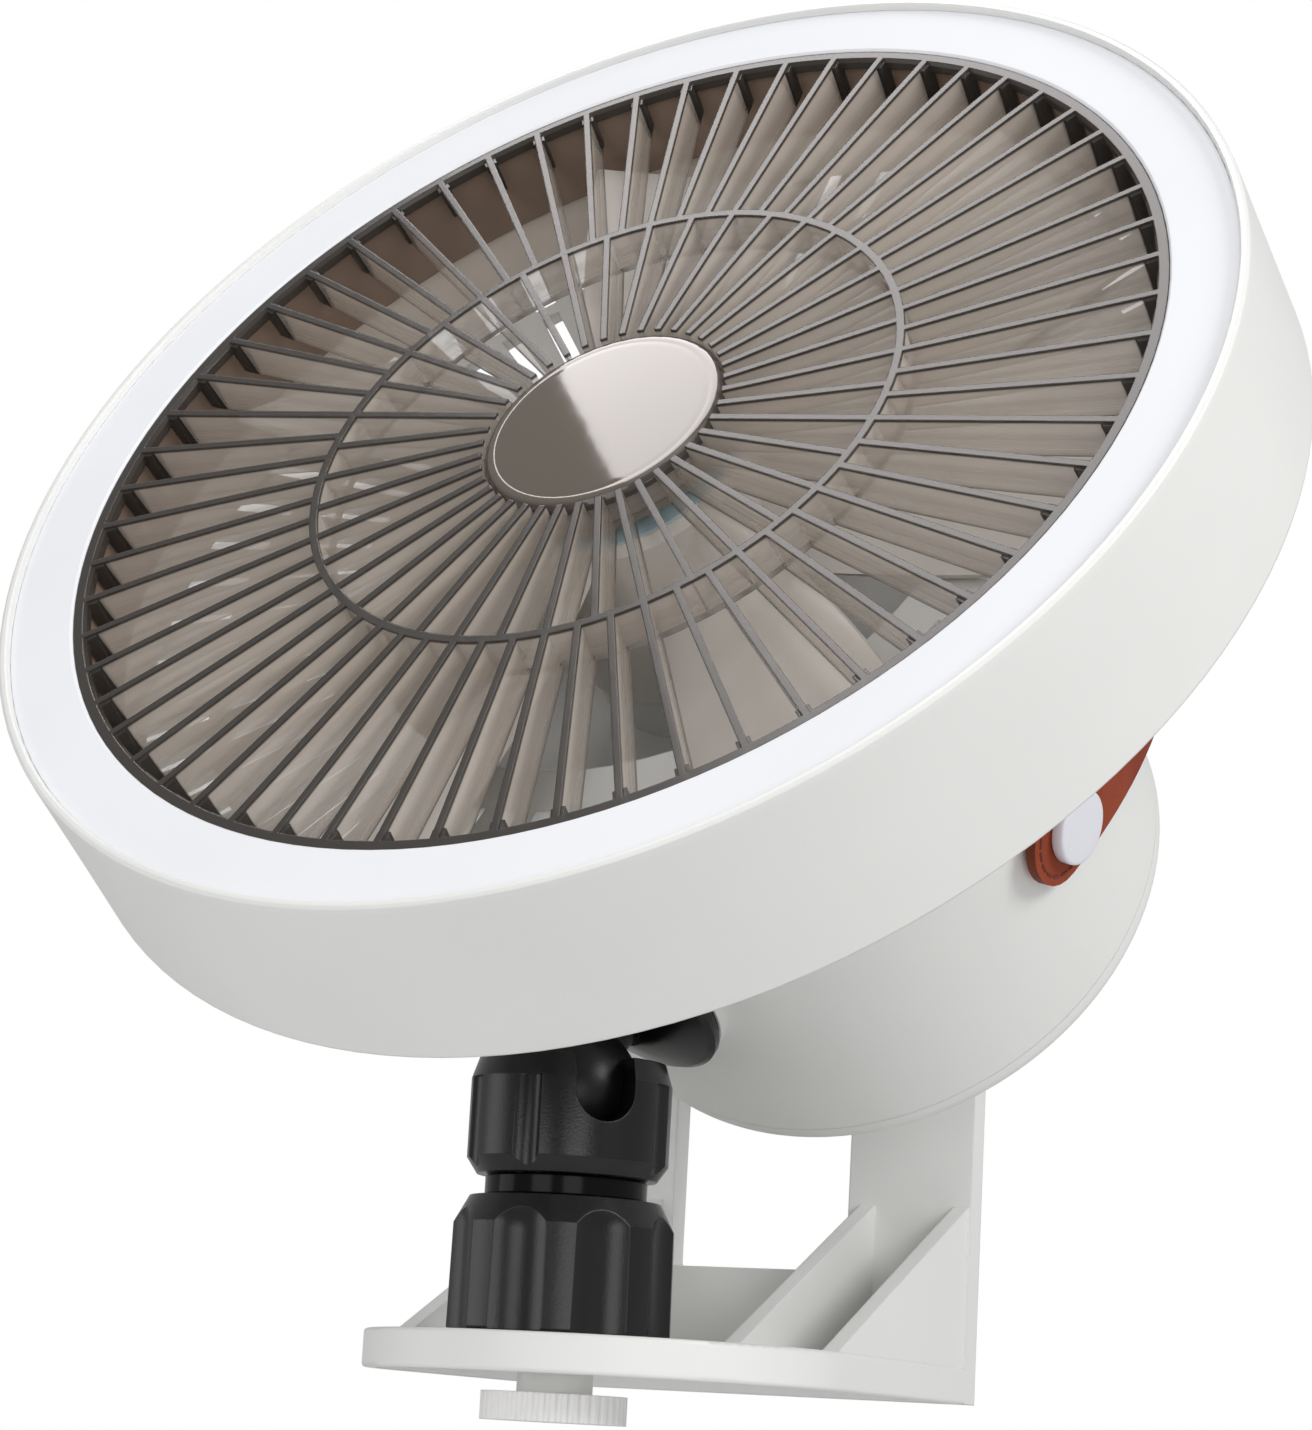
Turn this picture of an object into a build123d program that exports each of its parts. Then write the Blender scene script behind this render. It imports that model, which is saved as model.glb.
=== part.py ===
from build123d import *
from math import cos, radians, sin
import os

os.makedirs("parts", exist_ok=True)

# Wall bracket: X runs along the wall, the room is towards -Y, Z is up.
# The origin is the centre of the wall screw pattern on the wall face.
bracket_bottom = -100.0
bracket_top = 24.0
bracket_half_width = 44.35
plate_thickness = 7.0
shelf_thickness = 6.9
shelf_straight = 83.9
shelf_skin = 2.7
shelf_lip = 2.8
window_half_width = 18.8
window_low = bracket_bottom + 25.0
window_high = bracket_bottom + 70.0
gusset_thickness = 3.2
gusset_inset = 0.6
gusset_top = bracket_bottom + 38.3
gusset_foot = 83.0
inner_gusset_x = 22.8
screw_spacing_x = 56.0
screw_spacing_z = 24.0
screw_hole_r = 2.3
screw_head_r = 4.6

# Ball mount
mount_y = -107.64
ball_z = -49.72
ball_r = 12.0
socket_gap = 0.06
stem_r = 4.2
shelf_top = bracket_bottom + shelf_thickness
seat_z = bracket_bottom + 2.0
lower_collar_r = 19.75
lower_collar_height = 23.5
core_r = 13.5
collar_gap = 0.07
neck_r = 14.4
neck_height = 3.9
upper_collar_r = 17.9
upper_collar_height = 20.8
upper_collar_opening_r = 10.6
notch_r = 5.5
notch_angle = -46.8
notch_centre_z = ball_z - 1.3
flute_count = 8
lower_flute_angle = -45.7
lower_flute_r = 9.5
lower_flute_ring = lower_collar_r + 7.3
platform_r = 17.6
platform_top = 23.2
seat_boss_r = platform_r - 0.4
stud_r = 3.17

# Thumb screw
knob_r = 12.9
knob_height = 5.0
shoulder_r = 6.7
knob_gap = 3.2
serrations = 40

# Round front barrel, seen along its own axis: radius and depth behind the light ring
barrel_centre = (16.46, -151.58, 61.72)
barrel_pitch = 33.22
barrel_yaw = 7.79
opening_r = 101.2
light_outer_r = 113.2
barrel_front_r = 115.0
barrel_back_r = 116.0
barrel_depth = 32.7
rim_height = 1.4
barrel_wall = 2.4
rib_phase = 10.1
outer_ribs = 60
inner_ribs = 40
rib_width = 1.3
rib_depth = 8.0
rib_front = -0.4
skirt_depth = 17.5
skirt_r = opening_r - 0.1
cap_front = -0.9
mid_ring_r = 54.5
cap_r = 22.5
led_count = 60
intake_count = 60

# Impeller and motor
hub_r = 23.5
hub_front = -12.0
hub_back = -47.0
blade_count = 7
blade_tip_r = 96.0

# Rear housing, tilted a little from the barrel
housing_pitch = 23.87
housing_yaw = 5.0
housing_start = 40.0
housing_r = 58.8
housing_wall = 2.4
housing_length = 98.7
cap_start = 93.0
stud_station = 56.0
strap_station = 53.5
strap_angle = -17.2
strap_lean = -13.4
bulkhead_start = 13.0
bulkhead_thickness = 3.0
cell_r = 9.1
cell_length = 65.0
cell_start = 25.0
cell_ring_r = 31.0
screw_ring_r = 51.5
button_r = 6.5
button_spacing = 20.0

# Carry strap
strap_width = 18.9
strap_inner = 59.3
strap_thickness = 2.0
strap_height = 92.0
strap_tab = 2.7
snap_r = 6.9
snap_height = 2.6
post_r = 3.6


def direction(pitch, yaw):
    level = cos(radians(pitch))
    return Vector(-sin(radians(yaw)) * level, -cos(radians(yaw)) * level, sin(radians(pitch)))


def facing(origin, normal):
    return Plane(origin=origin, x_dir=Vector(-normal.Y, normal.X, 0).normalized(), z_dir=normal)


def upright(plane):
    return Plane(origin=plane.origin, x_dir=plane.x_dir, z_dir=plane.y_dir * -1)


# Shared planes and axes
front = facing(Vector(*barrel_centre), direction(barrel_pitch, barrel_yaw))
front_axis = Axis(front.origin, front.z_dir)
front_profile = upright(front)
housing_normal = direction(housing_pitch, housing_yaw)
rear = facing(front.origin - front.z_dir * housing_start, housing_normal)
rear_axis = Axis(rear.origin, rear.z_dir)
rear_profile = upright(rear)
ball_centre = Vector(0, mount_y, ball_z)
stud_target = rear.origin - rear.z_dir * stud_station
stud_way = (stud_target - ball_centre).normalized()
stud = Plane(origin=ball_centre, x_dir=stud_way.cross(Vector(0, 0, 1)).normalized(), z_dir=stud_way)
stud_axis = Axis(stud.origin, stud.z_dir)
stud_profile = upright(stud)
strap_way = (rear.x_dir * cos(radians(strap_angle)) + rear.y_dir * sin(radians(strap_angle)))
strap_rise = (rear.y_dir * cos(radians(strap_angle)) - rear.x_dir * sin(radians(strap_angle)))
strap_up = strap_rise * cos(radians(strap_lean)) + rear.z_dir * sin(radians(strap_lean))
strap_side = rear.z_dir * cos(radians(strap_lean)) - strap_rise * sin(radians(strap_lean))
strap_centre = rear.origin - rear.z_dir * strap_station
strap_end = strap_centre - strap_up * strap_tab
strap_plane = Plane(origin=strap_centre, x_dir=strap_way, z_dir=strap_side)
post_planes = []
for sign in (1, -1):
    post_planes.append(Plane(origin=strap_centre, x_dir=strap_side, z_dir=strap_way * sign))
mount = Plane(origin=(0, mount_y, 0))
mount_axis = Axis((0, mount_y, 0), (0, 0, 1))
mount_profile = Plane(origin=(0, mount_y, 0), x_dir=(1, 0, 0), z_dir=(0, -1, 0))


# Wall bracket
def make_wall_bracket():
    outer_gusset_x = bracket_half_width - gusset_inset - gusset_thickness / 2
    gusset_centres = (-outer_gusset_x, -inner_gusset_x, inner_gusset_x, outer_gusset_x)
    with BuildPart() as bracket:
        with BuildSketch(Plane.XY.offset(bracket_bottom)):
            with Locations((0, -shelf_straight / 2)):
                Rectangle(2 * bracket_half_width, shelf_straight)
            with Locations((0, -shelf_straight)):
                Circle(bracket_half_width)
        extrude(amount=shelf_thickness)
        fillet(bracket.edges().filter_by(GeomType.CIRCLE), 0.7)
        with BuildSketch(Plane.XY.offset(bracket_bottom)):
            with Locations((0, -shelf_straight / 2 - plate_thickness)):
                Rectangle(2 * (bracket_half_width - shelf_lip), shelf_straight)
            with Locations((0, -shelf_straight - plate_thickness)):
                Circle(bracket_half_width - shelf_lip - plate_thickness, mode=Mode.SUBTRACT)
            with Locations((0, -shelf_straight)):
                Circle(bracket_half_width - shelf_lip)
        extrude(amount=shelf_thickness - shelf_skin, mode=Mode.SUBTRACT)
        with BuildSketch(Plane.XY.offset(seat_z)):
            with Locations((0, mount_y)):
                Circle(shoulder_r + 3.5)
        extrude(amount=shelf_top - seat_z)
        with BuildSketch(Plane.XY.offset(bracket_bottom)):
            with Locations((0, -plate_thickness / 2)):
                Rectangle(2 * bracket_half_width, plate_thickness)
        extrude(amount=bracket_top - bracket_bottom)
        fillet(bracket.edges().filter_by(Axis.Y).group_by(Axis.Z)[-1], 6)
        with BuildSketch(Plane.XZ):
            with Locations((0, (window_low + window_high) / 2)):
                RectangleRounded(2 * window_half_width, window_high - window_low, 1.0)
        extrude(amount=plate_thickness, mode=Mode.SUBTRACT)
        for x in gusset_centres:
            with BuildSketch(Plane.YZ.offset(x)):
                with BuildLine():
                    Polyline((-plate_thickness + 0.5, shelf_top - 0.5), (-plate_thickness + 0.5, gusset_top),
                             (-plate_thickness, gusset_top), (-gusset_foot, shelf_top),
                             (-gusset_foot, shelf_top - 0.5), close=True)
                make_face()
            extrude(amount=gusset_thickness / 2, both=True)
        with BuildSketch(Plane.XY.offset(bracket_bottom)):
            with Locations((0, mount_y)):
                Circle(3.4)
        extrude(amount=shelf_thickness, mode=Mode.SUBTRACT)
        with Locations(Plane(origin=(0, -plate_thickness, 0), x_dir=(1, 0, 0), z_dir=(0, -1, 0))):
            with GridLocations(screw_spacing_x, screw_spacing_z, 2, 2):
                CounterSinkHole(screw_hole_r, screw_head_r, depth=plate_thickness)
    return bracket


wall_bracket = make_wall_bracket()
wall_bracket.part.label = "wall_bracket"


# Thumb screw below the shelf
knob_top = bracket_bottom - knob_gap
with BuildPart() as thumb_knob:
    with BuildSketch(mount.offset(knob_top)):
        Circle(knob_r)
        with PolarLocations(knob_r + 0.25, serrations):
            Circle(0.62, mode=Mode.SUBTRACT)
    extrude(amount=-knob_height)
    with BuildSketch(mount.offset(seat_z - 0.03)):
        Circle(shoulder_r)
    extrude(amount=knob_top - seat_z)
    with BuildSketch(mount.offset(knob_top - knob_height)):
        Circle(knob_r - 2.6)
    extrude(amount=0.9, mode=Mode.SUBTRACT)
    with BuildSketch(mount.offset(seat_z)):
        Circle(stud_r)
    extrude(amount=bracket_bottom - 5.8 - seat_z, mode=Mode.SUBTRACT)
thumb_knob.part.label = "thumb_knob"

with BuildPart() as thumb_stud:
    with BuildSketch(mount.offset(bracket_bottom - 5.8)):
        Circle(stud_r)
    extrude(amount=17.0)
    chamfer(thumb_stud.edges().group_by(Axis.Z)[-1], 0.6)
    for turn in range(4):
        with BuildSketch(mount.offset(bracket_bottom + 3.2 + 1.9 * turn)):
            Circle(stud_r + 0.1)
            Circle(stud_r - 0.5, mode=Mode.SUBTRACT)
        extrude(amount=0.5, mode=Mode.SUBTRACT)
thumb_stud.part.label = "thumb_stud"

# Ball mount base with its neck, standing on the shelf
collar_low = shelf_top + 0.1
collar_high = collar_low + lower_collar_height
neck_high = collar_high + neck_height
with BuildPart() as mount_base:
    with BuildSketch(mount.offset(shelf_top)):
        Circle(core_r)
    extrude(amount=neck_high - shelf_top - 1.0)
    with BuildSketch(mount.offset(neck_high - 1.0)):
        Circle(4.0)
    extrude(amount=2.4)
    with BuildSketch(mount.offset(shelf_top)):
        Circle(stud_r + 0.07)
    extrude(amount=12.5, mode=Mode.SUBTRACT)
mount_base.part.label = "mount_base"

with BuildPart() as neck_ring:
    with BuildSketch(mount.offset(collar_high + 0.1)):
        Circle(neck_r)
        Circle(core_r, mode=Mode.SUBTRACT)
    extrude(amount=neck_height - 0.25)
    chamfer(neck_ring.edges().filter_by(GeomType.CIRCLE).group_by(SortBy.RADIUS)[-1], 0.3)
neck_ring.part.label = "neck_ring"

# Lower locking collar with grip flutes
with BuildPart() as lower_collar:
    with BuildSketch(mount_profile):
        with BuildLine():
            Polyline((core_r + collar_gap, collar_low), (lower_collar_r - 0.3, collar_low),
                     (lower_collar_r, collar_low + 0.4), (lower_collar_r - 0.2, collar_high - 4.8),
                     (neck_r + 2.6, collar_high), (core_r + collar_gap, collar_high), close=True)
        make_face()
    revolve(axis=mount_axis)
    with BuildSketch(mount.offset(collar_low - 1)):
        with PolarLocations(lower_flute_ring, flute_count, start_angle=lower_flute_angle):
            Circle(lower_flute_r)
    extrude(amount=lower_collar_height - 5.0, mode=Mode.SUBTRACT)
    with Locations(mount.offset(collar_high - 6.0)):
        with PolarLocations(lower_flute_ring, flute_count, start_angle=lower_flute_angle):
            Sphere(lower_flute_r, mode=Mode.SUBTRACT)
lower_collar.part.label = "lower_collar"

# Upper collar: the ball's housing with its side notch
upper_low = neck_high
upper_high = upper_low + upper_collar_height
with BuildPart() as ball_housing:
    with BuildSketch(mount_profile):
        with BuildLine():
            Polyline((4.07, upper_low), (upper_collar_r - 1.9, upper_low), (upper_collar_r, upper_low + 2.8),
                     (upper_collar_r, upper_high - 4.0), (upper_collar_r - 1.3, upper_high),
                     (upper_collar_opening_r, upper_high), (upper_collar_opening_r, upper_high - 0.6),
                     (4.07, ball_z), close=True)
        make_face()
    revolve(axis=mount_axis)
    with Locations(ball_centre):
        Sphere(ball_r + socket_gap, mode=Mode.SUBTRACT)
    with BuildSketch(mount.offset(upper_low - 1)):
        with PolarLocations(upper_collar_r + 2.0, flute_count - 1, start_angle=notch_angle + 45,
                            angular_range=270, endpoint=True):
            Circle(3.3)
    extrude(amount=upper_collar_height - 3.0, mode=Mode.SUBTRACT)
    with BuildSketch(Plane(origin=(0, mount_y, notch_centre_z),
                           x_dir=(-sin(radians(notch_angle)), cos(radians(notch_angle)), 0),
                           z_dir=(cos(radians(notch_angle)), sin(radians(notch_angle)), 0))):
        Circle(notch_r)
        with Locations((0, 10)):
            Rectangle(2 * notch_r, 20)
    extrude(amount=upper_collar_r + 2, mode=Mode.SUBTRACT)
ball_housing.part.label = "ball_housing"

# Ball with its stem, platform and stud
with BuildPart() as ball_stem:
    with Locations(ball_centre):
        Sphere(ball_r)
    with BuildSketch(stud):
        Circle(stem_r)
    extrude(amount=platform_top - 3.0)
ball_stem.part.label = "ball_stem"

with BuildPart() as platform_disc:
    with BuildSketch(stud_profile):
        with BuildLine():
            Polyline((stem_r, platform_top - 8.2), (stem_r + 1.2, platform_top - 8.2),
                     (platform_r - 1.0, platform_top - 3.4), (platform_r, platform_top - 2.6),
                     (platform_r, platform_top - 1.2), (platform_r - 0.4, platform_top - 0.8),
                     (stud_r, platform_top - 0.8), (stud_r, platform_top - 3.0),
                     (stem_r, platform_top - 3.0), close=True)
        make_face()
    revolve(axis=stud_axis)
platform_disc.part.label = "platform_disc"

with BuildPart() as platform_pad:
    with BuildSketch(stud.offset(platform_top - 0.8)):
        Circle(platform_r - 0.8)
        Circle(stud_r + 0.8, mode=Mode.SUBTRACT)
    extrude(amount=0.8)
platform_pad.part.label = "platform_pad"

with BuildPart() as tripod_stud:
    with BuildSketch(stud.offset(platform_top - 3.0)):
        Circle(stud_r)
    extrude(amount=9.0)
    with BuildSketch(stud.offset(platform_top + 6.0)):
        Circle(stud_r)
    extrude(amount=0.7, taper=40)
tripod_stud.part.label = "tripod_stud"


# Front barrel: outer shell with its raised rim
def profile_ring(name, plane, axis, points):
    with BuildPart() as piece:
        with BuildSketch(plane):
            with BuildLine():
                Polyline(*points, close=True)
            make_face()
        revolve(axis=axis)
    piece.part.label = name
    return piece


with BuildPart() as barrel_shell:
    with BuildSketch(front_profile):
        with BuildLine():
            Polyline((barrel_front_r - 0.5, rim_height), (barrel_front_r, rim_height - 0.4),
                     (barrel_front_r + 0.1, rim_height - 1.4), (barrel_back_r, -barrel_depth),
                     (barrel_back_r - barrel_wall, -barrel_depth),
                     (barrel_front_r - barrel_wall, -4.0), (light_outer_r + 0.05, -4.0),
                     (light_outer_r + 0.05, rim_height - 0.4), (light_outer_r + 0.35, rim_height),
                     close=True)
        make_face()
    revolve(axis=front_axis)
barrel_shell.part.label = "barrel_shell"

# Light ring
light_ring = profile_ring("light_ring", front_profile, front_axis, (
    (opening_r, -0.4), (opening_r + 0.4, 0), (light_outer_r, 0), (light_outer_r, -3.4),
    (light_outer_r - 1.6, -3.4), (light_outer_r - 1.6, -1.8), (opening_r + 1.6, -1.8),
    (opening_r + 1.6, -3.4), (opening_r, -3.4)))

led_tray = profile_ring("led_tray", front_profile, front_axis, (
    (opening_r + 1.6, -10.5), (barrel_front_r - barrel_wall - 0.1, -10.5),
    (barrel_front_r - barrel_wall - 0.1, -12.5), (opening_r + 1.6, -12.5)))

led_board = profile_ring("led_board", front_profile, front_axis, (
    (opening_r + 2.0, -8.9), (light_outer_r - 1.3, -8.9), (light_outer_r - 1.3, -10.5),
    (opening_r + 2.0, -10.5)))

with BuildPart() as leds:
    with BuildSketch(front.offset(-8.9)):
        with PolarLocations((opening_r + light_outer_r) / 2, led_count):
            Rectangle(2.8, 3.5)
    extrude(amount=0.8)
leds.part.label = "leds"

air_duct = profile_ring("air_duct", front_profile, front_axis, (
    (opening_r, -skirt_depth - 0.2), (opening_r + 0.2, -skirt_depth - 0.2), (opening_r + 0.2, -3.6),
    (opening_r + 1.5, -3.6), (opening_r + 1.5, -28.6), (opening_r + 9.0, -30.1),
    (opening_r + 7.0, -30.1), (opening_r, -28.6)))

# Front grille: ribs, end blocks and rings in one moulding
with BuildPart() as front_grille:
    with BuildSketch(front.offset(rib_front)):
        Circle(mid_ring_r + 0.75)
        Circle(mid_ring_r - 0.75, mode=Mode.SUBTRACT)
    extrude(amount=-rib_depth)
    with BuildSketch(front.offset(rib_front - 0.6)):
        Circle(cap_r - 0.6)
        Circle(cap_r - 3.2, mode=Mode.SUBTRACT)
    extrude(amount=-rib_depth + 0.6)
    with BuildSketch(front_profile):
        with BuildLine():
            Polyline((skirt_r, rib_front), (skirt_r - 1.8, rib_front), (skirt_r - 2.3, rib_front - 0.7),
                     (skirt_r - 2.3, rib_front - 2.2), (skirt_r - 1.2, rib_front - 2.6),
                     (skirt_r - 1.2, -skirt_depth), (skirt_r, -skirt_depth), close=True)
        make_face()
    revolve(axis=front_axis)
    with BuildSketch(front.offset(rib_front)):
        with PolarLocations((mid_ring_r + skirt_r) / 2, outer_ribs, start_angle=rib_phase):
            Rectangle(skirt_r - mid_ring_r - 0.6, rib_width)
        with PolarLocations((mid_ring_r + cap_r) / 2 - 0.5, inner_ribs, start_angle=rib_phase):
            Rectangle(mid_ring_r - cap_r + 0.6, rib_width)
    extrude(amount=-rib_depth, taper=3.4)
    with BuildSketch(front.offset(rib_front - 0.5)):
        with PolarLocations(skirt_r - 2.4, outer_ribs, start_angle=rib_phase):
            Rectangle(3.6, 2.4)
    extrude(amount=-rib_depth + 1.4, taper=4)
    with BuildSketch(front.offset(1)):
        Circle(cap_r + 0.05)
    extrude(amount=cap_front - 2.95, mode=Mode.SUBTRACT)
    with BuildSketch(front.offset(1)):
        Circle(cap_r - 3.25)
    extrude(amount=-20.0, mode=Mode.SUBTRACT)
front_grille.part.label = "front_grille"

grille_cap = profile_ring("grille_cap", front_profile, front_axis, (
    (0, cap_front), (cap_r - 1.9, cap_front), (cap_r, cap_front - 0.7), (cap_r, cap_front - 1.9),
    (cap_r - 3.3, cap_front - 1.9), (cap_r - 3.3, cap_front - 3.5), (0, cap_front - 3.5)))

# Impeller with hub, and the spinner on its nose
impeller_shell = 1.9
with BuildPart() as impeller:
    with BuildSketch(front_profile):
        with BuildLine():
            Polyline((0, hub_front), (hub_r - 1.5, hub_front), (hub_r, hub_front - 1.5), (hub_r, hub_back),
                     (hub_r - impeller_shell, hub_back), (hub_r - impeller_shell, hub_front - 2.5),
                     (0, hub_front - 2.5), close=True)
        make_face()
    revolve(axis=front_axis)
    blade_sections = ((hub_r - 0.8, 27.0, 48.0, 2.2), (58.0, 36.0, 28.0, 1.9), (blade_tip_r, 40.0, 24.0, 1.5))
    for blade in range(blade_count):
        turn = radians(360 / blade_count * blade)
        out = front.x_dir * cos(turn) + front.y_dir * sin(turn)
        side = front.z_dir.cross(out)
        for radius, chord, pitch, thick in blade_sections:
            middle = front.origin - front.z_dir * 20.4 + out * radius
            along = side * cos(radians(pitch)) + front.z_dir * sin(radians(pitch))
            with BuildSketch(Plane(origin=middle, x_dir=along, z_dir=out)):
                Rectangle(chord, thick)
        loft()
    with BuildSketch(front.offset(hub_front - 2.5)):
        Circle(2.1)
    extrude(amount=3.0, mode=Mode.SUBTRACT)
impeller.part.label = "impeller"

with BuildPart() as hub_spinner:
    with BuildSketch(front_profile):
        with BuildLine():
            Polyline((0, hub_front + 0.02), (0, hub_front + 1.6), (hub_r - 9.0, hub_front + 1.4),
                     (hub_r - 2.0, hub_front + 0.4), (hub_r - 2.0, hub_front + 0.02), close=True)
        make_face()
    revolve(axis=front_axis)
hub_spinner.part.label = "hub_spinner"

# Motor inside the hub
motor_rotor = profile_ring("motor_rotor", front_profile, front_axis, (
    (2.0, hub_front - 2.6), (hub_r - 2.0, hub_front - 2.6), (hub_r - 2.0, hub_back + 3.0),
    (hub_r - 3.6, hub_back + 3.0), (hub_r - 3.6, hub_front - 4.2), (2.0, hub_front - 4.2)))

motor_stator = profile_ring("motor_stator", front_profile, front_axis, (
    (2.6, hub_front - 6.0), (hub_r - 4.4, hub_front - 6.0), (hub_r - 4.4, hub_back + 4.0),
    (2.6, hub_back + 4.0)))

with BuildPart() as motor_shaft:
    with BuildSketch(front.offset(hub_front - 0.6)):
        Circle(2.0)
    extrude(amount=hub_back - hub_front + 4.0)
motor_shaft.part.label = "motor_shaft"

bulkhead_face = rear.offset(-bulkhead_start)
with BuildPart() as motor_mount:
    with BuildSketch(front.offset(hub_back + 4.0)):
        Circle(hub_r - 5.0)
        Circle(2.6, mode=Mode.SUBTRACT)
    extrude(amount=-16.0)
    with BuildSketch(front.offset(hub_back - 0.9)):
        Circle(hub_r - 1.0)
        Circle(2.6, mode=Mode.SUBTRACT)
    extrude(amount=-12.0)
    split(bisect_by=bulkhead_face, keep=Keep.TOP)
motor_mount.part.label = "motor_mount"

# Back of the barrel with its intake slots
back_face = front.offset(-barrel_depth + 0.1)
with BuildPart() as intake_guard:
    with BuildSketch(back_face.offset(2.3)):
        Circle(barrel_back_r - barrel_wall - 0.1)
        Circle(housing_r - 3.0, mode=Mode.SUBTRACT)
        with PolarLocations(75.5, intake_count):
            Rectangle(21.0, 3.4, mode=Mode.SUBTRACT)
        with PolarLocations(99.0, intake_count):
            Rectangle(19.0, 4.4, mode=Mode.SUBTRACT)
    extrude(amount=-2.3)
intake_guard.part.label = "intake_guard"

# Rear housing with stud boss, strap posts' seats and screw lugs
with BuildPart() as rear_housing:
    with BuildSketch(rear.offset(20)):
        Circle(housing_r)
    extrude(amount=-20 - cap_start)
    with BuildSketch(stud.offset(platform_top + 0.1)):
        Circle(seat_boss_r)
    extrude(amount=12.2)
    with BuildSketch(rear.offset(20)):
        Circle(housing_r - housing_wall)
    extrude(amount=-20 - cap_start + 6.0, mode=Mode.SUBTRACT)
    with BuildSketch(rear.offset(-cap_start + 6.0)):
        Circle(housing_r - housing_wall)
        with PolarLocations(screw_ring_r, 4, start_angle=45):
            Circle(4.2, mode=Mode.SUBTRACT)
        with PolarLocations(screw_ring_r + 4.0, 4, start_angle=45):
            Rectangle(7.0, 6.0, mode=Mode.SUBTRACT)
    extrude(amount=-6.0, mode=Mode.SUBTRACT)
    with BuildSketch(stud.offset(platform_top + 0.1)):
        Circle(13.5)
    extrude(amount=12.2)
    with BuildSketch(stud.offset(platform_top + 0.1)):
        Circle(5.0)
    extrude(amount=11.0, mode=Mode.SUBTRACT)
    with BuildSketch(rear.offset(-cap_start)):
        with PolarLocations(screw_ring_r, 4, start_angle=45):
            Circle(1.3)
    extrude(amount=5.5, mode=Mode.SUBTRACT)
    with BuildSketch(stud.offset(platform_top + 0.1)):
        Circle(platform_r + 0.3)
    extrude(amount=-12.0, mode=Mode.SUBTRACT)
    for place in post_planes:
        with BuildSketch(place.offset(housing_r - 1.0)):
            Circle(post_r)
        extrude(amount=8.0, mode=Mode.SUBTRACT)
    split(bisect_by=front.offset(-barrel_depth + 0.1), keep=Keep.BOTTOM)
rear_housing.part.label = "rear_housing"

with BuildPart() as tripod_insert:
    with BuildSketch(stud.offset(platform_top + 0.1)):
        Circle(5.0)
        Circle(stud_r + 0.07, mode=Mode.SUBTRACT)
    extrude(amount=9.0)
    with BuildSketch(stud.offset(platform_top + 9.1)):
        Circle(5.0)
    extrude(amount=1.9)
tripod_insert.part.label = "tripod_insert"

with BuildPart() as bulkhead:
    with BuildSketch(rear.offset(-bulkhead_start)):
        Circle(housing_r - housing_wall)
    extrude(amount=-bulkhead_thickness)
bulkhead.part.label = "bulkhead"

with BuildPart() as control_board:
    with BuildSketch(rear.offset(-18.6)):
        Circle(48.0)
    extrude(amount=-1.6)
    with BuildSketch(rear.offset(-20.2)):
        with Locations((-18, 12), (14, -20), (20, 16)):
            Rectangle(11, 8)
        with PolarLocations(40, 8):
            Circle(2.4)
    extrude(amount=-2.4)
control_board.part.label = "control_board"

with BuildPart() as cells:
    with BuildSketch(rear.offset(-cell_start)):
        with PolarLocations(cell_ring_r, 6, start_angle=stud_station - 26.0):
            Circle(cell_r)
    extrude(amount=-cell_length)
cells.part.label = "cells"

with BuildPart() as cell_holder:
    for station in (cell_start + 1.2, cell_start + cell_length - 5.2):
        with BuildSketch(rear.offset(-station)):
            Circle(cell_ring_r + cell_r + 2.6)
            with PolarLocations(cell_ring_r, 6, start_angle=stud_station - 26.0):
                Circle(cell_r + 0.1, mode=Mode.SUBTRACT)
        extrude(amount=-4.0)
cell_holder.part.label = "cell_holder"

# Rear cap with its controls
cap_depth = housing_length - cap_start
with BuildPart() as rear_cap:
    with BuildSketch(rear.offset(-cap_start)):
        Circle(housing_r)
    extrude(amount=-cap_depth)
    fillet(rear_cap.edges().filter_by(GeomType.CIRCLE).sort_by(rear_axis)[0], 4.0)
    with BuildSketch(rear.offset(-housing_length)):
        SlotOverall(3 * button_spacing + 4.0, 18.0)
    extrude(amount=0.8, mode=Mode.SUBTRACT)
    with BuildSketch(rear.offset(-housing_length)):
        with GridLocations(button_spacing, 1, 3, 1):
            Circle(button_r + 0.1)
        with Locations((0, -22)):
            SlotOverall(9.6, 3.8)
        with Locations((0, 18)):
            with GridLocations(5.0, 1, 4, 1):
                Circle(0.9)
        with PolarLocations(screw_ring_r, 4, start_angle=45):
            Circle(1.5)
    extrude(amount=cap_depth, mode=Mode.SUBTRACT)
    with BuildSketch(rear.offset(-housing_length)):
        with PolarLocations(screw_ring_r, 4, start_angle=45):
            Circle(2.9)
    extrude(amount=2.6, mode=Mode.SUBTRACT)
rear_cap.part.label = "rear_cap"


def make_button(name, x):
    place = rear.offset(-housing_length)
    with BuildPart() as button:
        with BuildSketch(Plane(place.from_local_coords(Vector(x, 0, -0.6)), place.x_dir, place.z_dir)):
            Circle(button_r)
        extrude(amount=4.6)
        chamfer(button.edges().filter_by(GeomType.CIRCLE).sort_by(rear_axis)[0], 0.4)
        with BuildSketch(Plane(place.from_local_coords(Vector(x, 0, cap_depth + 0.1)), place.x_dir, place.z_dir)):
            Circle(button_r + 1.2)
        extrude(amount=1.0)
        with BuildSketch(Plane(place.from_local_coords(Vector(x, 0, 3.0)), place.x_dir, place.z_dir)):
            Circle(button_r)
        extrude(amount=cap_depth - 2.8)
    button.part.label = name
    return button


power_button = make_button("power_button", -button_spacing)
speed_button = make_button("speed_button", 0)
light_button = make_button("light_button", button_spacing)

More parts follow.
